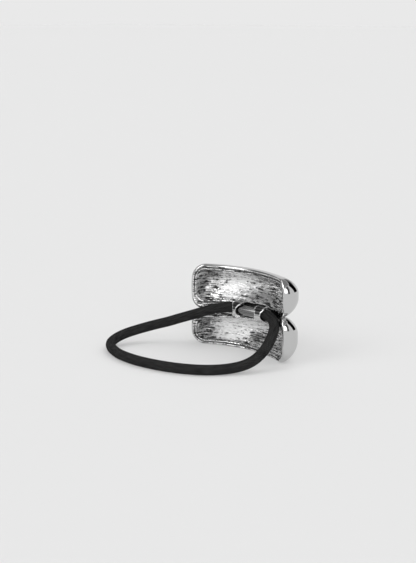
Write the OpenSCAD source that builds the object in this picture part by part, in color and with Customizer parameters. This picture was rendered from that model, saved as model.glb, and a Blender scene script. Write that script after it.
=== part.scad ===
// Hair tie: a cast metal cuff of two puffed bars, worn on a loop of elastic cord.
// The cuff stands on its long lower edge. Its smooth front faces -Y and its hollow back faces +Y.

/* [Cuff] */
// Height of the two bars together
cuff_h = 33.4; // [30:0.2:38]
// Radius of the hollow side, at the crest of its rim
inner_r = 38; // [36:0.5:42]
// Length of the cuff along its curve
arc_len = 49; // [46:0.2:52]
// Thickness from the crest of the rim to the crown of a bar
bulge = 8.2; // [7.6:0.1:8.6]
// Depth of the hollow in each bar, from the crest of the rim
hollow_depth = 5.6; // [4.6:0.1:6]
// Radius of a bar's corners, seen from the front
corner_r = 5.4; // [4:0.1:6]
// How far a bar's end takes to round up to its crown
end_round = 5.7; // [5:0.1:8]
// How far a bar's ends bow out at the middle of their height
end_bow = 0.8; // [0:0.1:1.2]
// Height of the line between the bars, at the middle of the cuff
split_mid = 16.5; // [15.5:0.1:17.5]
// How much lower that line is at the +X end than at the middle
split_rise = 2; // [0:0.1:3]
// Width of the raised rim round each hollow
rim_w = 2.1; // [1.6:0.1:2.3]
// Width of the rim where it meets the other bar
mid_rim_w = 3.45; // [3.3:0.05:3.7]

/* [Straps] */
// Places of the two straps along X
strap_x = [3, -8.4]; // [-8.5:0.1:4]
// Radius of the eye that the elastic runs through
eye_r = 2.25; // [2.2:0.05:2.3]
// Thickness of a strap over the elastic
strap_wall = 0.5; // [0.5:0.1:0.9]
// Width of each strap at its feet
foot_w = [4.3, 4.8]; // [4:0.1:5]
// Width of each strap at its waist
waist_w = [1.4, 3]; // [1.2:0.1:3]

/* [Elastic] */
// Diameter of the elastic cord
cord_d = 4; // [3.6:0.1:4]
// Diameter of the ferrule that joins its ends, at its belly
ferrule_d = 4.2; // [4:0.05:4.2]
// Diameter of the ferrule's crimped ends
neck_d = 3.9; // [3.6:0.1:3.9]

/* [Hidden] */

half_len = arc_len / 2;
overlap = 0.5;         // the bars run into each other by this much, so that they are one casting
edge_n = 1.2;          // the rim's rounding ends this far out from its crest
edge_flat = 0.8;       // then the edge, on which the cuff stands, is level for this much
rim_round = 0.8;       // inset of the crest from the bar's outline
lip_n = 0.1;           // the rim falls by this much towards the hollow
crown_rise = 1;        // each crown lies this much above the middle of its bar
crown_power = 1.3;     // above 1 the dome is more pointed than an ellipse
dome_start = edge_n + edge_flat;
nest_drop = 1.55;      // the rims between the bars are lower by this, so that the elastic lies in them
nest_half = 2.5;       // half height of that lower stretch
nest_fade = 0.3;       // height over which it comes back to the full rim
nest_end = 1.5;        // it stops this far from the ends
nest_taper = 5;        // length over which it does so
corner_n = 4;
side_n = 14;
dome_n = 6;
last_dome = 82;
hollow_n = 5;
last_hollow = 0.14;

// Angle, in degrees, of a place s along the curve
function turn(s) = s / inner_r * 180 / PI;

// The axis of the curve lies on +Y, where it centres the cuff on Y = 0
axis_y = (inner_r + bulge + (inner_r + lip_n) * cos(turn(half_len - rim_round / 2))) / 2;

// A place s along the curve, n out from the crest of the rim and z up
function wrap(s, n, z) = [(inner_r + n) * sin(turn(s)), axis_y - (inner_r + n) * cos(turn(s)), z];

function split_z(s) = split_mid - split_rise * s / half_len;
function low_z(upper, s) = upper ? split_z(s) - overlap / 2 : 0;
function high_z(upper, s) = upper ? cuff_h : split_z(s) + overlap / 2;
function clamp(x) = min(1, max(0, x));

// How far the rim is lowered between the bars
function nest(s, n, z) = nest_drop * clamp(1 - n / dome_start)
    * clamp((nest_half + nest_fade - abs(z - split_z(s))) / nest_fade)
    * clamp((half_len - nest_end - abs(s)) / nest_taper);

// The upper half of a bar's outline, inset by d and shrunk by the share t towards the ridge:
// each row is a place s and its drop below the level edge
function outline(d, t) =
    let (reach = half_len - d - end_round * t, r = (corner_r - d) * (1 - t), flat = reach - r)
    concat(
        [for (i = [0 : corner_n]) let (a = 90 * i / corner_n) [flat + r * cos(a), r * (1 - sin(a))]],
        [for (i = [1 : side_n - 1]) [flat * (1 - 2 * i / side_n), 0]],
        [for (i = [corner_n : -1 : 0]) let (a = 90 * i / corner_n) [-flat - r * cos(a), r * (1 - sin(a))]]
    );

// How far a place near an end is drawn in, so that the end bows out; z_share runs from -1 to 1 over a bar
function draw_in(s, z_share) = end_bow * z_share * z_share * pow(abs(s) / half_len, 4) * sign(s);

// A point of a bar, where the side next to the other bar is inset by m more than the rest
function bar_point(upper, d, t, n, m, s, drop, side) =
    let (low = low_z(upper, s) + (upper ? m : 0), high = high_z(upper, s) - (upper ? 0 : m),
         lift = side * (((high - low) / 2 - d) * (1 - t) - drop),
         z = (low + high) / 2 + crown_rise * t + lift)
    wrap(s - draw_in(s, 2 * lift / (high - low)), n + nest(s, n, z), z);

// One closed ring of a bar, along its upper side and back along its lower side
function bar_ring(upper, d, t, n, m) =
    let (row = outline(d, t), last = len(row) - 1)
    concat(
        [for (i = [0 : last]) bar_point(upper, d, t, n, m, row[i][0], row[i][1], 1)],
        [for (i = [last : -1 : 0]) bar_point(upper, d, t, n, m, row[i][0], row[i][1], -1)]
    );

// The section of a bar from its crown, over its outline and rim, to the floor of the hollow.
// Each row is an inset d, a share t, a height n and the further inset m next to the other bar
section = concat(
    [for (i = [0 : dome_n]) let (a = last_dome * (1 - i / dome_n))
        [0, 1 - cos(a), dome_start + (bulge - dome_start) * pow(sin(a), crown_power), 0]],
    [for (a = [0 : 30 : 90]) [rim_round * (1 - cos(a)), 0, edge_n * (1 - sin(a)), 0]],
    [for (i = [0 : hollow_n]) let (u = 1 - (1 - last_hollow) * i / hollow_n)
        [rim_w, 1 - u, lip_n + (hollow_depth - lip_n) * (1 - u * u), mid_rim_w - rim_w]]
);

ring_n = 2 * (2 * (corner_n + 1) + side_n - 1);

// Triangles between each ring and the next, and over the first and the last ring
bar_faces = concat(
    [for (k = [0 : len(section) - 2]) for (i = [0 : ring_n - 1])
        let (j = (i + 1) % ring_n, a = k * ring_n) each
        [[a + i, a + j, a + ring_n + i], [a + j, a + ring_n + j, a + ring_n + i]]],
    [for (i = [0 : ring_n / 2 - 2]) let (p = ring_n - 1 - i) each
        [[i, p, i + 1], [i + 1, p, p - 1]]],
    [for (i = [0 : ring_n / 2 - 2]) let (a = (len(section) - 1) * ring_n, p = a + ring_n - 1 - i) each
        [[a + i, a + i + 1, p], [a + i + 1, p - 1, p]]]
);

module bar(upper) {
    points = [for (row = section) each bar_ring(upper, row[0], row[1], row[2], row[3])];
    polyhedron(points = points, faces = bar_faces, convexity = 6);
}

cord_y = 2.5;          // the elastic's axis where it lies along the back
cord_z = 17;
strap_r = eye_r + strap_wall;
leg_depth = 5.6;       // the legs reach this far below that axis, into the metal
waist_r = 2.3;         // radius of the curve from foot to waist

// A staple that holds the elastic down, with a narrow waist and two wide feet
module strap(x, foot, waist) {
    translate([x, cord_y, cord_z]) difference() {
        union() {
            rotate([0, 90, 0]) cylinder(r = strap_r, h = foot, center = true, $fn = 48);
            for (side = [-1, 1])
                translate([-foot / 2, -leg_depth, side * (strap_r - strap_wall / 2) - strap_wall / 2])
                    cube([foot, leg_depth, strap_wall]);
        }
        rotate([0, 90, 0]) cylinder(r = eye_r, h = foot + 1, center = true, $fn = 48);
        for (side = [-1, 1])
            translate([side * (waist / 2 + waist_r), 0, 0])
                rotate([90, 0, 0]) cylinder(r = waist_r, h = 3 * strap_r, center = true, $fn = 64);
    }
}

module cuff() {
    color("silver") {
        bar(true);
        bar(false);
        for (i = [0, 1]) strap(strap_x[i], foot_w[i], waist_w[i]);
    }
}

// The elastic's route: out of the ferrule through the first strap, along the back past the +X end,
// down to the surface, round in a loose loop and up again to the second strap
route = [
    [3.1, 2.5, 17], [6.4, 2.5, 17], [8.7, 3, 16.8], [11.3, 3.9, 16.3], [14.1, 5.2, 15.6],
    [16.8, 6.8, 14.7], [19.4, 8.7, 13.7], [22.2, 10.7, 12.6], [25.6, 12.6, 11.3], [29.4, 14.6, 9.8],
    [33.5, 16.7, 8.4], [37.4, 18.9, 7], [41, 21.9, 5.6], [43.5, 25.7, 4.4], [44.2, 29.9, 3.4],
    [43, 33.9, 2.7], [39.9, 37, 2.3], [36, 39.3, 2.1], [31.4, 41.1, 2], [26.2, 42.2, 2],
    [20, 42.7, 2], [13.6, 42.3, 2], [7.2, 41.2, 2], [1, 39.3, 2], [-4.6, 36.6, 2], [-8.4, 33.8, 2],
    [-11.6, 30.6, 2.1], [-14.6, 27.1, 2.5], [-17.2, 23.8, 3.4], [-19.1, 20.5, 5], [-20.2, 17.3, 7.2],
    [-20.4, 14.1, 9.7], [-20, 11.1, 12.2], [-18.9, 8.4, 14.4], [-17.2, 6.5, 16], [-15.2, 5, 16.8],
    [-13.3, 3.95, 17.05], [-11.4, 3, 17.05], [-9.5, 2.5, 17], [-7.4, 2.5, 17]
];
cord_sides = 10;
aside = [-0.5, 0.5, 0.7]; // a direction that the route never runs along

function unit(v) = v / norm(v);
function heading(i) = unit(route[min(i + 1, len(route) - 1)] - route[max(i - 1, 0)]);

function cord_ring(i) =
    let (t = heading(i), u = unit(cross(aside, t)), v = cross(t, u))
    [for (k = [0 : cord_sides - 1]) let (a = 360 * (k + 0.5) / cord_sides)
        route[i] + cord_d / 2 * (cos(a) * u + sin(a) * v)];

module elastic() {
    rings = len(route);
    color("black") polyhedron(
        points = [for (i = [0 : rings - 1]) each cord_ring(i)],
        faces = concat(
            [[for (k = [0 : cord_sides - 1]) k]],
            [for (i = [0 : rings - 2]) for (k = [0 : cord_sides - 1])
                let (j = (k + 1) % cord_sides, a = i * cord_sides, b = a + cord_sides) each
                [[a + k, b + k, a + j], [a + j, b + k, b + j]]],
            [[for (k = [cord_sides - 1 : -1 : 0]) (rings - 1) * cord_sides + k]]
        ),
        convexity = 8
    );
}

belly_half = 4.8;      // half length of the ferrule's belly, which fills the space between the straps

module ferrule() {
    first = route[0];
    last = route[len(route) - 1];
    long = norm(first - last);
    swell = (ferrule_d - neck_d) / 2;
    arc_r = (belly_half * belly_half + swell * swell) / (2 * swell);
    color("silver") translate(last) rotate([0, 90, 0]) rotate_extrude($fn = 64) {
        square([neck_d / 2, long]);
        translate([0, long / 2]) intersection() {
            translate([ferrule_d / 2 - arc_r, 0]) circle(r = arc_r, $fn = 360);
            translate([0, -belly_half]) square([ferrule_d / 2, 2 * belly_half]);
        }
    }
}

cuff();
elastic();
ferrule();
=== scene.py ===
import math
import bmesh
import bpy
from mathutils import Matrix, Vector, geometry, noise


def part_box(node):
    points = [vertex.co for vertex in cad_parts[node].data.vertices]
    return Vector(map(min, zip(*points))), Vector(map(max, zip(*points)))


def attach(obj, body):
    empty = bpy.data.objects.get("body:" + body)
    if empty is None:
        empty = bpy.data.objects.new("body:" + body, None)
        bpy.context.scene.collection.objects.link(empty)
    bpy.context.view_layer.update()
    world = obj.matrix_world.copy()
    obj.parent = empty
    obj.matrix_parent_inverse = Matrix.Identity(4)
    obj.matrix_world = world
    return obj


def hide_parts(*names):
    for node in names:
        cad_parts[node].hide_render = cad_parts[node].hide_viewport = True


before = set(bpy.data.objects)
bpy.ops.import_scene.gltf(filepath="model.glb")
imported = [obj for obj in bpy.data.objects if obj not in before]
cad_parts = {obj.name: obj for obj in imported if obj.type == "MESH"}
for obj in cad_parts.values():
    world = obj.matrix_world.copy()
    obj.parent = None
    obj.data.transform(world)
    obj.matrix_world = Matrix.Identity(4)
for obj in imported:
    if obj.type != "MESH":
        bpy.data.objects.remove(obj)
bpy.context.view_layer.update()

# Sizes are in millimetres, and a mesh is scaled to metres when it is done
mm = 0.001


def meshObject(name, bm, materials):
    bmesh.ops.scale(bm, vec=(mm, mm, mm), verts=bm.verts)
    mesh = bpy.data.meshes.new(name)
    bm.to_mesh(mesh)
    bm.free()
    mesh.shade_smooth()
    piece = bpy.data.objects.new(name, mesh)
    bpy.context.scene.collection.objects.link(piece)
    for material in materials:
        mesh.materials.append(material)
    return piece


def newMaterial(name, **settings):
    material = bpy.data.materials.new(name)
    material.use_nodes = True
    shader = material.node_tree.nodes["Principled BSDF"]
    for key, value in settings.items():
        shader.inputs[key.replace("_", " ")].default_value = value
    return material, material.node_tree, shader


def addNode(tree, kind, inputs=None, **settings):
    node = tree.nodes.new(kind)
    for key, value in settings.items():
        setattr(node, key, value)
    for key, value in (inputs or {}).items():
        if isinstance(value, bpy.types.NodeSocket):
            tree.links.new(value, node.inputs[key])
        else:
            node.inputs[key].default_value = value
    return node


def grey(level):
    return (level, level, level, 1)


def greyRamp(tree, value, low, high):
    # Each end is given as its place on the ramp and its grey
    ramp = addNode(tree, "ShaderNodeValToRGB", {"Fac": value})
    for stop, (place, level) in zip(ramp.color_ramp.elements, (low, high)):
        stop.position = place
        stop.color = grey(level)
    return ramp.outputs["Color"]


def blend(low, high, x):
    x = min(1, max(0, (x - low) / (high - low)))
    return x * x * (3 - 2 * x)


# Camera

view = {
    "place": (-257.0, 333.5, 130.7),
    "aim": (10.37, 12.51, 28.96),
    "lens": 70.34,
    "sensor": 36,
}


def makeCamera():
    camera = bpy.data.objects.new("camera", bpy.data.cameras.new("camera"))
    bpy.context.scene.collection.objects.link(camera)
    camera.data.lens = view["lens"]
    camera.data.sensor_width = view["sensor"]
    camera.data.clip_start = 0.01
    place = Vector(view["place"]) * mm
    aim = Vector(view["aim"]) * mm
    camera.location = place
    camera.rotation_euler = (aim - place).to_track_quat("-Z", "Y").to_euler()
    bpy.context.scene.camera = camera


makeCamera()
print("camera placed")

# Elastic cord in its braided sleeve

elastic = {
    "diameter": 4,
    "strands": 16,       # yarns that run round each way
    "aroundYarn": 5,     # faces across a yarn
    "crossing": 1.26,    # length along the cord from one crossing to the next
    "alongYarn": 8,      # faces along a crossing
    "relief": 0.13,      # height of a yarn over the gaps
    "dip": 0.9,          # how far a yarn goes down beside a crossing
    "under": 0.35,       # height of the yarn below, as a share of the one on top
    "pathEvery": 8,      # rings from one point of the cord's path, which makeElastic returns, to the next
}

# Out of the ferrule through the first strap, along the back past the +X end, down to the surface,
# round in a loose loop and up again to the second strap
elasticRoute = [
    (3.1, 2.5, 17), (6.4, 2.5, 17), (8.7, 3, 16.8), (11.3, 3.9, 16.3), (14.1, 5.2, 15.6),
    (16.8, 6.8, 14.7), (19.4, 8.7, 13.7), (22.2, 10.7, 12.6), (25.6, 12.6, 11.3), (29.4, 14.6, 9.8),
    (33.5, 16.7, 8.4), (37.4, 18.9, 7), (41, 21.9, 5.6), (43.5, 25.7, 4.4), (44.2, 29.9, 3.4),
    (43, 33.9, 2.7), (39.9, 37, 2.3), (36, 39.3, 2.1), (31.4, 41.1, 2), (26.2, 42.2, 2),
    (20, 42.7, 2), (13.6, 42.3, 2), (7.2, 41.2, 2), (1, 39.3, 2), (-4.6, 36.6, 2), (-8.4, 33.8, 2),
    (-11.6, 30.6, 2.1), (-14.6, 27.1, 2.5), (-17.2, 23.8, 3.4), (-19.1, 20.5, 5), (-20.2, 17.3, 7.2),
    (-20.4, 14.1, 9.7), (-20, 11.1, 12.2), (-18.9, 8.4, 14.4), (-17.2, 6.5, 16), (-15.2, 5, 16.8),
    (-13.3, 3.95, 17.05), (-11.4, 3, 17.05), (-9.5, 2.5, 17), (-7.4, 2.5, 17),
]


def smoothLine(points, perSpan=24):
    points = [Vector(p) for p in points]
    points = [2 * points[0] - points[1]] + points + [2 * points[-1] - points[-2]]
    line = []
    for before, a, b, after in zip(points, points[1:], points[2:], points[3:]):
        handleA = a + (b - before) / 6
        handleB = b - (after - a) / 6
        line += geometry.interpolate_bezier(a, handleA, handleB, b, perSpan)[:-1]
    return line + [points[-2]]


def evenSteps(line, step):
    lengths = [0]
    for a, b in zip(line, line[1:]):
        lengths.append(lengths[-1] + (b - a).length)
    count = round(lengths[-1] / step)
    places = []
    k = 0
    for i in range(count + 1):
        along = lengths[-1] * i / count
        while k < len(line) - 2 and lengths[k + 1] < along:
            k += 1
        share = (along - lengths[k]) / (lengths[k + 1] - lengths[k])
        places.append(line[k].lerp(line[k + 1], share))
    return places, lengths[-1]


def ringFrames(places):
    # Each ring is turned from the one before by the least turn, so that the sleeve doesn't twist
    headings = []
    for i in range(len(places)):
        headings.append((places[min(i + 1, len(places) - 1)] - places[max(i - 1, 0)]).normalized())
    up = headings[0].orthogonal().normalized()
    frames = []
    for i, heading in enumerate(headings):
        if i:
            up = headings[i - 1].rotation_difference(heading) @ up
        up = (up - up.dot(heading) * heading).normalized()
        frames.append((up, heading.cross(up)))
    return frames


def braidRelief(around, along):
    # Height from 0 to 1 of a plain braid: two sets of yarns wind opposite ways, over and under by turns
    a = around + along
    b = around - along
    acrossA = 2 * (a % 1) - 1
    acrossB = 2 * (b % 1) - 1
    over, under = (acrossA, acrossB) if (math.floor(a) + math.floor(b)) % 2 == 0 else (acrossB, acrossA)
    hump = math.sqrt(max(0, 1 - over * over)) * math.cos(under * math.pi / 2 * elastic["dip"]) ** 0.5
    return max(hump, elastic["under"] * math.sqrt(max(0, 1 - under * under)))


def makeElastic(sleeve):
    step = elastic["crossing"] / elastic["alongYarn"]
    places, length = evenSteps(smoothLine(elasticRoute), step)
    frames = ringFrames(places)
    around = elastic["strands"] * elastic["aroundYarn"]
    bm = bmesh.new()
    uvMap = bm.loops.layers.uv.new("UVMap")
    reliefLayer = bm.verts.layers.float.new("relief")
    bmesh.ops.create_grid(bm, x_segments=around, y_segments=len(places) - 1, size=0.5, calc_uvs=True)
    for vert in bm.verts:
        u = vert.co.x + 0.5
        i = round((vert.co.y + 0.5) * (len(places) - 1))
        side, over = frames[i]
        height = braidRelief(u * elastic["strands"], i / elastic["alongYarn"])
        radius = elastic["diameter"] / 2 - elastic["relief"] * (1 - height)
        angle = 2 * math.pi * u
        vert.co = places[i] + radius * (math.cos(angle) * side + math.sin(angle) * over)
        vert[reliefLayer] = height
    for face in bm.faces:
        for loop in face.loops:
            # One unit is a yarn round the cord and a crossing along it
            uv = loop[uvMap].uv
            loop[uvMap].uv = (uv.x * elastic["strands"], uv.y * length / elastic["crossing"])
    bmesh.ops.remove_doubles(bm, verts=bm.verts, dist=0.001)
    bmesh.ops.holes_fill(bm, edges=[e for e in bm.edges if e.is_boundary], sides=0)
    bmesh.ops.recalc_face_normals(bm, faces=bm.faces)
    piece = meshObject("elastic_braid", bm, [sleeve])
    path = [p * mm for p in places[::elastic["pathEvery"]]] + [places[-1] * mm]
    return piece, path, length * mm


# Cuff

cuff = {
    "innerRadius": 38,      # of the curve that the rims follow
    "length": 49,           # along that curve
    "bulge": 8.2,           # from the rims out to the crowns
    "hollowDepth": 5.4,
    "cornerRadius": 5.4,
    "endRound": 5.7,        # how far a crown is drawn in from the bar's ends
    "endBow": 0.8,          # how far the corners of an end are drawn in
    "splitMid": 16.5,       # height of the line between the bars, and its rise towards the -X end
    "splitRise": 2,
    "rimWidth": 2.1,
    "midRimWidth": 3.75,    # of a rim next to the other bar
    "overlap": 0.5,         # of the two bars
    "edgeRound": 1.2,
    "edgeFlat": 0.6,
    "crestInset": 0.8,
    "crownRise": 1,         # each crown lies this much above the middle of its bar
    "crownPower": 1.3,      # above 1 the dome is more pointed than an ellipse
    "lipRound": 0.3,
    "lipEnd": 0.1,          # height over the rim's crest of the place where the cuff's box ends
    "rimGroove": 0.16,
}
nest = {
    "drop": 1.55,           # the rims between the bars are lower by this, so that the elastic lies in them
    "below": 2.5,           # reach below the line between the bars
    "above": (1.6, 2.8),    # reach above it, at the -X end and over the rest
    "widens": (-10.5, -9),  # where along the bars the first reach becomes the second
    "fade": 0.3,
    "end": 1.5,             # it stops this far from the ends
    "taper": 5,             # length over which it does so
    "black": (-8.8, -7.8, 2.6, 3.4),    # where its painted shade starts, is full, starts to fade and ends
}
cuffMesh = {"side": 120, "corner": 14, "end": 22, "dome": 30, "round": 7, "rim": 16, "lip": 5, "hollow": 64}
casting = {
    "seeds": {"upper_bar": 3, "lower_bar": 57},
    "stainSeed": 50,        # from a bar's seed to that of its stained patches
    "lines": 0.14,          # height of the flow lines
    "fineShare": 0.6,       # height of the fine ones, as a share of that
    "ground": 0.16,         # height of the uneven ground
    "pits": 0.6,            # height of the pits
    "pitsFrom": 0.2,        # the higher, the fewer pits
    "pitsPatchy": 0.3,      # the noise above which a patch is full of pits
    "pitsBetween": 0.3,     # height of the pits between those patches, as a share
    "onRims": 0.2,          # how much of all this shows on the rims
    "fullFrom": 0.12,       # share of the way to a hollow's middle from which all of it shows
    "smootherInHighlight": 0.3,      # how much lower it is in a painted highlight patch
    "patchEdge": (0.02, 0.2),    # share of the way to a hollow's middle over which patches set in
    "ragged": (4, 1.5),     # how far a patch's edge strays along the bar and up it
    # Waves along the bar and up it for each mm, and how far each noise lies from the bar's seed
    "waves": {
        "wander": (0.12, 0.3, 0),
        "lines": (0.2, 1.9, 5),
        "fine": (0.45, 4.2, 9),
        "ground": (0.22, 0.5, 13),
        "patches": (0.15, 0.25, 17),
        "pits": (1.1, 1.5, 21),
        "ragAlong": (0.5, 1.2, 31),
        "ragUp": (0.5, 1.2, 37),
    },
}
patinaShare = {
    "rim": 0.2,
    "groove": 0.65,         # more than on the rest of the rim
    "grooveSpan": (0.15, 0.35, 0.75, 0.9),    # shares of the rim's width, as for the recess
    "lip": 0.7,             # at the edge of a hollow
    "lipFade": (0.02, 0.08),
    "midLess": 0.7,         # how much less there is towards the other bar
}
# Patches of a hollow, as place along the bar, height, half length, half height and strength
# Painted highlight: these patches are matt and white where the hollows mirror the bright floor and lamps
wornPatches = {
    "upper_bar": [(9, 23.3, 6.5, 2.6, 1), (6, 25, 11, 9, 0.8)],
    "lower_bar": [(3, 10.5, 16, 4, 1), (8, 5.5, 10, 6, 1)],
}
stainedPatches = {
    "upper_bar": [(-3, 22.5, 12, 4, 0.55), (21, 25, 6, 11, 0.5)],
    "lower_bar": [(-2.5, 5.2, 5, 2.8, 0.8), (18.3, 6.3, 3, 3.4, 0.75), (21.5, 7, 5, 7, 0.4)],
}
cuffHeight = (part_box("cuff")[1][2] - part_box("cuff")[0][2]) / mm
halfLength = cuff["length"] / 2
domeStart = cuff["edgeRound"] + cuff["edgeFlat"]
# Y of the axis of the cuff's curve, with the cuff's own box centred on 0
endAngle = (halfLength - cuff["crestInset"] / 2) / cuff["innerRadius"]
axisY = (cuff["innerRadius"] + cuff["bulge"]
         + (cuff["innerRadius"] + cuff["lipEnd"]) * math.cos(endAngle)) / 2


def splitHeight(s):
    return cuff["splitMid"] - cuff["splitRise"] * s / halfLength


def nestDrop(s, n, z):
    depth = nest["drop"] * min(1, max(0, 1 - n / domeStart))
    over = z - splitHeight(s)
    narrow, wide = nest["above"]
    reach = narrow + (wide - narrow) * blend(*nest["widens"], s) if over > 0 else nest["below"]
    depth *= min(1, max(0, (reach + nest["fade"] - abs(over)) / nest["fade"]))
    return depth * min(1, max(0, (halfLength - nest["end"] - abs(s)) / nest["taper"]))


def drawIn(s, zShare):
    # How far a place near an end is drawn in, so that the end bows out
    return math.copysign(cuff["endBow"] * zShare ** 2 * (abs(s) / halfLength) ** 4, s)


def wrap(s, n, z):
    angle = s / cuff["innerRadius"]
    radius = cuff["innerRadius"] + n
    return Vector((radius * math.sin(angle), axisY - radius * math.cos(angle), z))


def barOutline():
    # Places round a bar's outline: shares of its flat length and height, and the direction from the
    # corner's centre
    places = []
    side, corner, end = cuffMesh["side"], cuffMesh["corner"], cuffMesh["end"]
    for half in (1, -1):
        for i in range(side):
            places.append((half * (1 - 2 * i / side), half, 0, half))
        for i in range(corner):
            angle = math.radians(90 * (i / corner + 1))
            places.append((-half, half, half * math.cos(angle), half * math.sin(angle)))
        for i in range(end):
            places.append((-half, half * (1 - 2 * i / end), -half, 0))
        for i in range(corner):
            angle = math.radians(90 * (i / corner + 2))
            places.append((-half, -half, half * math.cos(angle), half * math.sin(angle)))
    return places


def barSection():
    # From a bar's crown, over its outline and rim, to the floor of the hollow: inset, share towards the
    # bar's middle, height out from the crest of the rim, how much of the casting's roughness shows, how
    # much of the further width of the rim next to the other bar, and how much patina
    rows = []
    for i in range(cuffMesh["dome"] + 1):
        angle = math.radians(90 * (1 - i / cuffMesh["dome"]))
        height = domeStart + (cuff["bulge"] - domeStart) * math.sin(angle) ** cuff["crownPower"]
        rows.append((0, 1 - math.cos(angle), height, 0, 0, 0))
    for i in range(cuffMesh["round"] + 1):
        angle = math.radians(90 * i / cuffMesh["round"])
        inset = cuff["crestInset"] * (1 - math.cos(angle))
        rows.append((inset, 0, cuff["edgeRound"] * (1 - math.sin(angle)), 0, 0, 0))
    flat = cuff["rimWidth"] - cuff["crestInset"] - cuff["lipRound"]
    start, full, fading, end = patinaShare["grooveSpan"]
    for i in range(1, cuffMesh["rim"] + 1):
        share = i / cuffMesh["rim"]
        groove = cuff["rimGroove"] * math.sin(math.pi * share) ** 2
        stain = patinaShare["groove"] * blend(start, full, share) * (1 - blend(fading, end, share))
        rows.append((cuff["crestInset"] + flat * share, 0, groove, casting["onRims"], share,
                     patinaShare["rim"] + stain))
    for i in range(1, cuffMesh["lip"] + 1):
        angle = math.radians(80 * i / cuffMesh["lip"])
        inset = cuff["rimWidth"] - cuff["lipRound"] * (1 - math.sin(angle))
        rows.append((inset, 0, cuff["lipRound"] * (1 - math.cos(angle)), casting["onRims"], 1, 0))
    lipDepth = rows[-1][2]
    for i in range(1, cuffMesh["hollow"] + 1):
        u = 1 - i / cuffMesh["hollow"]
        depth = lipDepth + (cuff["hollowDepth"] - lipDepth) * (1 - u ** 2)
        stain = patinaShare["lip"] * (1 - blend(*patinaShare["lipFade"], 1 - u))
        rows.append((cuff["rimWidth"], 1 - u, depth, blend(0, casting["fullFrom"], 1 - u), 1, stain))
    return rows


def castNoise(kind, s, z, seed):
    along, up, apart = casting["waves"][kind]
    return noise.noise(Vector((s * along, z * up, seed + apart)))


def castRoughness(s, z, seed):
    # Long flow lines along the bar over uneven ground, with small pits in patches
    wander = castNoise("wander", s, z, seed)
    lines = castNoise("lines", s, z + wander, seed)
    fine = castNoise("fine", s, z + wander, seed)
    ground = castNoise("ground", s, z, seed)
    patch = blend(0, casting["pitsPatchy"], castNoise("patches", s, z, seed))
    pit = max(0, castNoise("pits", s, z, seed) - casting["pitsFrom"])
    return (casting["lines"] * (lines + casting["fineShare"] * fine) + casting["ground"] * ground
            + casting["pits"] * (casting["pitsBetween"] + patch) * pit)


def recessShade(s, drop):
    # Painted shade: the recess is black where it runs under the ferrule
    start, full, fading, end = nest["black"]
    return drop / nest["drop"] * blend(start, full, s) * (1 - blend(fading, end, s))


def patchShare(patches, s, z, seed):
    # The strongest of some oval patches with ragged edges
    strayAlong, strayUp = casting["ragged"]
    ragS = s + strayAlong * castNoise("ragAlong", s, z, seed)
    ragZ = z + strayUp * castNoise("ragUp", s, z, seed)
    return max(strength * max(0, 1 - ((ragS - midS) / halfS) ** 2 - ((ragZ - midZ) / halfZ) ** 2)
               for midS, midZ, halfS, halfZ, strength in patches)


def makeBar(name, upper, materials):
    outline = barOutline()
    section = barSection()
    seed = casting["seeds"][name]
    bm = bmesh.new()
    patinaAndShadeLayer = bm.verts.layers.float.new("patina")
    wornLayer = bm.verts.layers.float.new("worn")
    bmesh.ops.create_grid(bm, x_segments=len(outline), y_segments=len(section) - 1, size=0.5)
    castFrom = cuffMesh["dome"] + cuffMesh["round"]
    for face in bm.faces:
        row = (face.calc_center_median().y + 0.5) * (len(section) - 1)
        face.material_index = 0 if row < castFrom else 1
    for vert in bm.verts:
        place = round((vert.co.x + 0.5) * len(outline)) % len(outline)
        sShare, zShare, sCorner, zCorner = outline[place]
        inset, share, height, rough, mid, stain = section[round((vert.co.y + 0.5) * (len(section) - 1))]
        radius = (cuff["cornerRadius"] - inset) * (1 - share)
        s = sShare * (halfLength - inset - cuff["endRound"] * share - radius) + sCorner * radius
        split = splitHeight(s)
        wider = mid * (cuff["midRimWidth"] - cuff["rimWidth"])
        low = split - cuff["overlap"] / 2 + wider if upper else 0
        high = cuffHeight if upper else split + cuff["overlap"] / 2 - wider
        lift = zShare * (((high - low) / 2 - inset) * (1 - share) - radius) + zCorner * radius
        z = (low + high) / 2 + cuff["crownRise"] * share + lift
        drop = nestDrop(s, height, z)
        n = height + drop
        if rough:
            stain *= 1 - patinaShare["midLess"] * max(0, -zShare if upper else zShare)
            inHollow = blend(*casting["patchEdge"], share)
            # Painted highlight patches, white where the hollows mirror the bright floor and lamps, with lower
            # relief
            worn = inHollow * patchShare(wornPatches[name], s, z, seed)
            stained = inHollow * patchShare(stainedPatches[name], s, z, seed + casting["stainSeed"])
            n += rough * (1 - casting["smootherInHighlight"] * worn) * castRoughness(s, z, seed)
            # Patina, with painted shade added where the recess runs under the ferrule
            vert[patinaAndShadeLayer] = max(recessShade(s, drop), stained, stain)
            vert[wornLayer] = worn * (1 - stained)
        s -= drawIn(s, 2 * lift / (high - low))
        vert.co = wrap(s, n, z)
    bmesh.ops.remove_doubles(bm, verts=bm.verts, dist=0.001)
    bmesh.ops.recalc_face_normals(bm, faces=bm.faces)
    return meshObject(name, bm, materials)


# Straps and ferrule

strap = {
    # Place along X, width at the feet and width at the waist
    "each": [(3, 4.3, 1.4), (-8.4, 4.8, 3)],
    "height": (2.5, 17),         # Y and Z of the elastic's axis under the straps
    "eyeRadius": 2.25,
    "wall": 0.5,
    "waistRadius": 2.3,
    "legDepth": 5.6,
    "edgeRound": 0.14,
    "darkReflectionRise": (0, 0.6),      # height above that axis over which the painted dark reflection sets in
    "patinaEdge": (0.6, 0.8),    # share of the half width over which it ends
    "across": 10,
    "along": 72,
}


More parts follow.
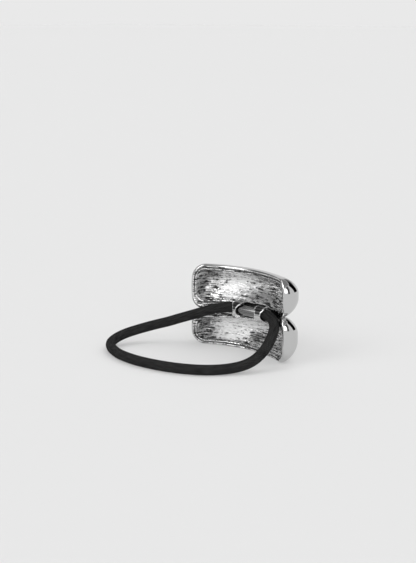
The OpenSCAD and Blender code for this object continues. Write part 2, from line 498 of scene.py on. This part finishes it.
def makeStrap(name, x, foot, waist, plating):
    middle = strap["eyeRadius"] + strap["wall"] / 2
    quarter = math.pi / 2 * middle
    reach = quarter + strap["legDepth"]
    bm = bmesh.new()
    patinaAndShadeLayer = bm.verts.layers.float.new("patina")
    bmesh.ops.create_grid(bm, x_segments=strap["across"], y_segments=strap["along"], size=1)
    for vert in bm.verts:
        across = abs(vert.co.x)
        along = abs(vert.co.y) * reach
        turn = min(along, quarter) / middle
        y = middle * math.cos(turn) - max(0, along - quarter)
        z = math.copysign(middle * math.sin(turn), vert.co.y)
        width = waist / 2 + strap["waistRadius"]
        width -= math.sqrt(max(0, strap["waistRadius"] ** 2 - z * z))
        width = min(foot / 2, width)
        # Painted dark reflection: the strap's upper half is darker, fading towards its edges
        vert[patinaAndShadeLayer] = blend(*strap["darkReflectionRise"], z) * (1 - blend(*strap["patinaEdge"], across))
        vert.co = (x + vert.co.x * width, strap["height"][0] + y, strap["height"][1] + z)
    bmesh.ops.recalc_face_normals(bm, faces=bm.faces)
    bmesh.ops.solidify(bm, geom=bm.faces[:], thickness=strap["wall"])
    bmesh.ops.recalc_face_normals(bm, faces=bm.faces)
    sharp = [e for e in bm.edges if e.calc_face_angle(0) > math.radians(60)]
    bmesh.ops.bevel(bm, geom=sharp, offset=strap["edgeRound"], offset_type="OFFSET", segments=3,
                    profile=0.5, affect="EDGES", material=-1)
    return meshObject(name, bm, [plating])


ferrule = {
    "neckRadius": 1.85,
    "bellyRadius": 1.98,
    "bellyHalf": 4.8,
    "bellySpans": 40,
    "endRound": 0.12,
    "steps": 96,
}


def makeFerrule(plating):
    left = Vector(elasticRoute[-1])
    right = Vector(elasticRoute[0])
    length = right.x - left.x
    swell = ferrule["bellyRadius"] - ferrule["neckRadius"]
    arc = (ferrule["bellyHalf"] ** 2 + swell ** 2) / (2 * swell)
    profile = [(0, 0), (0, ferrule["neckRadius"] - ferrule["endRound"])]
    profile.append((ferrule["endRound"], ferrule["neckRadius"]))
    for i in range(ferrule["bellySpans"] + 1):
        x = length / 2 + ferrule["bellyHalf"] * (2 * i / ferrule["bellySpans"] - 1)
        profile.append((x, ferrule["bellyRadius"] - arc + math.sqrt(arc ** 2 - (x - length / 2) ** 2)))
    profile.append((length - ferrule["endRound"], ferrule["neckRadius"]))
    profile += [(length, ferrule["neckRadius"] - ferrule["endRound"]), (length, 0)]
    bm = bmesh.new()
    verts = [bm.verts.new(left + Vector((x, r, 0))) for x, r in profile]
    edges = [bm.edges.new(pair) for pair in zip(verts, verts[1:])]
    bmesh.ops.spin(bm, geom=verts + edges, cent=left, axis=(1, 0, 0), angle=2 * math.pi,
                   steps=ferrule["steps"], use_merge=True)
    bmesh.ops.remove_doubles(bm, verts=bm.verts, dist=0.001)
    bmesh.ops.recalc_face_normals(bm, faces=bm.faces)
    return meshObject("ferrule_barrel", bm, [plating])


# Materials

sleeveLook = {
    "roughness": 0.95,
    "shine": 0.1,
    "gaps": (0.4, 0.0005),        # place on the ramp and grey
    "tops": (0.8, 0.042),
    "streaks": (1.3, 0.35, 1),    # noise waves for each yarn and each crossing
    "streakShare": 0.5,           # the rest of the tone is painted shade that follows the relief
    "fibres": (3, 1.5, 1),
    "fibreDepth": 0.3,
}


def makeSleeve():
    # Black yarns with painted shade, darker in the gaps and lighter on their tops, with streaks along the
    # cord and fine fibres
    sleeve, tree, shader = newMaterial("braidedSleeve", Roughness=sleeveLook["roughness"],
                                       Specular_IOR_Level=sleeveLook["shine"])
    uv = addNode(tree, "ShaderNodeTexCoord").outputs["UV"]
    long = addNode(tree, "ShaderNodeMapping", {"Vector": uv, "Scale": sleeveLook["streaks"]})
    streaks = addNode(tree, "ShaderNodeTexNoise", {"Vector": long.outputs["Vector"], "Scale": 1, "Detail": 3})
    relief = addNode(tree, "ShaderNodeAttribute", attribute_name="relief")
    share = addNode(tree, "ShaderNodeMix", {
        "Factor": sleeveLook["streakShare"], "A": relief.outputs["Fac"], "B": streaks.outputs["Fac"]})
    tone = greyRamp(tree, share.outputs[0], sleeveLook["gaps"], sleeveLook["tops"])
    short = addNode(tree, "ShaderNodeMapping", {"Vector": uv, "Scale": sleeveLook["fibres"]})
    fibres = addNode(tree, "ShaderNodeTexNoise", {"Vector": short.outputs["Vector"], "Scale": 1, "Detail": 4})
    bump = addNode(tree, "ShaderNodeBump", {
        "Height": fibres.outputs["Fac"], "Strength": 1, "Distance": sleeveLook["fibreDepth"] * mm})
    tree.links.new(tone, shader.inputs["Base Color"])
    tree.links.new(bump.outputs["Normal"], shader.inputs["Normal"])
    return sleeve


# Grey and roughness, and the grey of the painted dark reflection on the straps where there is any
polishLook = {
    "domePolish": (0.6, 0.04),
    "strapPolish": (0.65, 0.1, 0.06),
    "ferrulePolish": (0.2, 0.2),
}


def makePolish(name, tone, roughness, patinaAndShadeTone=None):
    polish, tree, shader = newMaterial(name, Base_Color=grey(tone), Metallic=1, Roughness=roughness)
    if patinaAndShadeTone is not None:
        # Painted shade: the attribute darkens the grey, on the straps as a painted dark reflection
        patina = addNode(tree, "ShaderNodeAttribute", attribute_name="patina")
        colour = addNode(tree, "ShaderNodeMix", {
            0: patina.outputs["Fac"], 6: grey(tone), 7: grey(patinaAndShadeTone)}, data_type="RGBA")
        tree.links.new(colour.outputs[2], shader.inputs["Base Color"])
    return polish


castLook = {
    "lines": (260, 260, 2600),    # noise waves for each metre, so that the lines run along the bar
    "grains": 1100,
    "grainShare": 0.3,
    "depth": 0.3,
    "wornLift": 0.08,             # how far up the ramp a painted highlight patch is moved
    "dark": (0.44, 0.05),         # place on the ramp and grey
    "bright": (0.52, 0.88),
    "patinaAndShadeTone": 0.02,
    "roughness": (0.13, 0.65),    # clean and under the patina and painted shade
}


def makeCast():
    # Bright metal with dark lines and grains under a black patina and the painted shade of the recess. In the
    # painted highlight patches it is matt and white.
    cast, tree, shader = newMaterial("castPlating")
    place = addNode(tree, "ShaderNodeTexCoord").outputs["Object"]
    drawn = addNode(tree, "ShaderNodeMapping", {"Vector": place, "Scale": castLook["lines"]})
    lines = addNode(tree, "ShaderNodeTexNoise", {"Vector": drawn.outputs["Vector"], "Scale": 1, "Detail": 4})
    grains = addNode(tree, "ShaderNodeTexNoise", {"Vector": place, "Scale": castLook["grains"], "Detail": 2})
    height = addNode(tree, "ShaderNodeMix", {
        "Factor": castLook["grainShare"], "A": lines.outputs["Fac"], "B": grains.outputs["Fac"]})
    bump = addNode(tree, "ShaderNodeBump", {
        "Height": height.outputs[0], "Strength": 1, "Distance": castLook["depth"] * mm})
    # Painted highlight: in these patches the tone is lifted
    worn = addNode(tree, "ShaderNodeAttribute", attribute_name="worn")
    liftedInHighlight = addNode(tree, "ShaderNodeMath", {
        0: worn.outputs["Fac"], 1: castLook["wornLift"], 2: height.outputs[0]}, operation="MULTIPLY_ADD")
    tone = greyRamp(tree, liftedInHighlight.outputs["Value"], castLook["dark"], castLook["bright"])
    # Patina, and the painted shade of the recess, darken the tone
    patina = addNode(tree, "ShaderNodeAttribute", attribute_name="patina")
    colour = addNode(tree, "ShaderNodeMix", {
        0: patina.outputs["Fac"], 6: tone, 7: grey(castLook["patinaAndShadeTone"])}, data_type="RGBA")
    # Painted highlight: in these patches the metal turns matt and white
    highlightNotMetal = addNode(tree, "ShaderNodeMapRange", {"Value": worn.outputs["Fac"], "To Min": 1, "To Max": 0})
    clean, matt = castLook["roughness"]
    dulled = addNode(tree, "ShaderNodeMapRange", {
        "Value": patina.outputs["Fac"], "To Min": clean, "To Max": matt})
    tree.links.new(highlightNotMetal.outputs["Result"], shader.inputs["Metallic"])
    tree.links.new(dulled.outputs["Result"], shader.inputs["Roughness"])
    tree.links.new(colour.outputs[2], shader.inputs["Base Color"])
    tree.links.new(bump.outputs["Normal"], shader.inputs["Normal"])
    return cast


# Studio

studio = {
    "floorSize": 20000,
    "floorTone": 0.424,
    "floorGlow": 0.28,      # light of its own, which keeps the shadows faint
    "backdrop": 0.815,      # what the camera sees behind the floor
    "surround": 0.8,
    "keyStrength": 1.6,
    "keyAngle": 70,
    "keyTilt": (24, -16),
    # Panels that the metal mirrors. Each is seen in the direction of its middle, as an azimuth that turns
    # from +Y towards +X and an elevation, with half its width and height and its soft edge, all in degrees
    "panels": [
        {"azimuth": 0, "elevation": 90, "half": (33, 33), "edge": 10, "level": 0.28},
        {"azimuth": 180, "elevation": 38, "half": (18, 16), "edge": 12, "level": 0.2},
        {"azimuth": 80, "elevation": 37, "half": (27, 17), "edge": 8, "level": 0.2},
        {"azimuth": 50, "elevation": 10, "half": (15, 11), "edge": 8, "level": 0.45},
        {"azimuth": -8, "elevation": 34, "half": (11, 19), "edge": 6, "level": 0.4},
        {"azimuth": -46, "elevation": 26, "half": (25, 18), "edge": 5, "level": 3.0},
        {"azimuth": 26, "elevation": 42, "half": (14, 17), "edge": 5, "level": 3.8},
        {"azimuth": 66, "elevation": 61, "half": (10, 8), "edge": 6, "level": 1.6},
        {"azimuth": -98, "elevation": 42, "half": (9, 18), "edge": 8, "level": 0.38},
        {"azimuth": -88, "elevation": 22, "half": (10, 30), "edge": 4, "level": 0.07},
        {"azimuth": -166, "elevation": 37, "half": (10, 8), "edge": 8, "level": 0.04},
        {"azimuth": -150, "elevation": 20, "half": (17, 28), "edge": 4, "level": 0.0},
    ],
}


def panelCover(tree, direction, panel):
    # 1 inside the panel and 0 outside it, for rays that leave towards it
    azimuth, elevation = math.radians(panel["azimuth"]), math.radians(panel["elevation"])
    ahead = Vector((math.sin(azimuth) * math.cos(elevation), math.cos(azimuth) * math.cos(elevation),
                    math.sin(elevation)))
    side = Vector((math.cos(azimuth), -math.sin(azimuth), 0))
    forward = addNode(tree, "ShaderNodeVectorMath", {0: direction, 1: ahead}, operation="DOT_PRODUCT")
    cover = addNode(tree, "ShaderNodeMath", {0: forward.outputs["Value"], 1: 0.0}, operation="GREATER_THAN")
    for axis, half in zip((side, side.cross(ahead)), panel["half"]):
        across = addNode(tree, "ShaderNodeVectorMath", {0: direction, 1: axis}, operation="DOT_PRODUCT")
        angle = addNode(tree, "ShaderNodeMath", {0: across.outputs["Value"], 1: forward.outputs["Value"]},
                        operation="ARCTAN2")
        size = addNode(tree, "ShaderNodeMath", {0: angle.outputs["Value"]}, operation="ABSOLUTE")
        inside = addNode(tree, "ShaderNodeMapRange", {
            "Value": size.outputs["Value"], "From Min": math.radians(half - panel["edge"] / 2),
            "From Max": math.radians(half + panel["edge"] / 2), "To Min": 1.0, "To Max": 0.0},
            interpolation_type="SMOOTHSTEP")
        cover = addNode(tree, "ShaderNodeMath", {0: cover.outputs["Value"], 1: inside.outputs["Result"]},
                        operation="MULTIPLY")
    return cover.outputs["Value"]


def makeStudio():
    bm = bmesh.new()
    bmesh.ops.create_grid(bm, x_segments=1, y_segments=1, size=studio["floorSize"] / 2)
    paper = newMaterial("floorPaper", Base_Color=grey(studio["floorTone"]), Roughness=1,
                        Specular_IOR_Level=0, Emission_Color=grey(1),
                        Emission_Strength=studio["floorGlow"])[0]
    floor = meshObject("floor", bm, [paper])

    world = bpy.data.worlds.new("studio")
    bpy.context.scene.world = world
    world.use_nodes = True
    tree = world.node_tree
    direction = addNode(tree, "ShaderNodeTexCoord").outputs["Generated"]
    level = addNode(tree, "ShaderNodeValue").outputs[0]
    level.default_value = studio["surround"]
    for panel in studio["panels"]:
        cover = panelCover(tree, direction, panel)
        level = addNode(tree, "ShaderNodeMix", {"Factor": cover, "A": level, "B": panel["level"]}).outputs[0]
    rays = addNode(tree, "ShaderNodeLightPath")
    shown = addNode(tree, "ShaderNodeMix", {
        "Factor": rays.outputs["Is Camera Ray"], "A": level, "B": studio["backdrop"]})
    tree.links.new(shown.outputs[0], tree.nodes["Background"].inputs["Color"])

    key = bpy.data.objects.new("key", bpy.data.lights.new("key", "SUN"))
    bpy.context.scene.collection.objects.link(key)
    key.data.energy = studio["keyStrength"]
    key.data.angle = math.radians(studio["keyAngle"])
    key.rotation_euler = [math.radians(t) for t in studio["keyTilt"]] + [0]
    key.visible_glossy = False
    bpy.context.scene.view_settings.view_transform = "Standard"


makeStudio()
print("floor and lights ready")

sleeve = makeSleeve()
domePolish, strapPolish, ferrulePolish = [makePolish(name, *look) for name, look in polishLook.items()]
cast = makeCast()
print("materials ready")

cord, cordPath, cordLength = makeElastic(sleeve)
print("elastic braided,", round(cordLength / mm, 1), "mm long")
barrel = makeFerrule(ferrulePolish)
bars = [makeBar("upper_bar", True, [domePolish, cast]), makeBar("lower_bar", False, [domePolish, cast])]
straps = [makeStrap(f"strap_{i + 1}", *place, strapPolish) for i, place in enumerate(strap["each"])]
print("cuff and ferrule modelled")

for piece in bars + straps:
    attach(piece, "root")
    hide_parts("cuff")
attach(barrel, "root")
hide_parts("ferrule")
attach(cord, "root")
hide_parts("elastic")
print("pieces fastened to the frame")
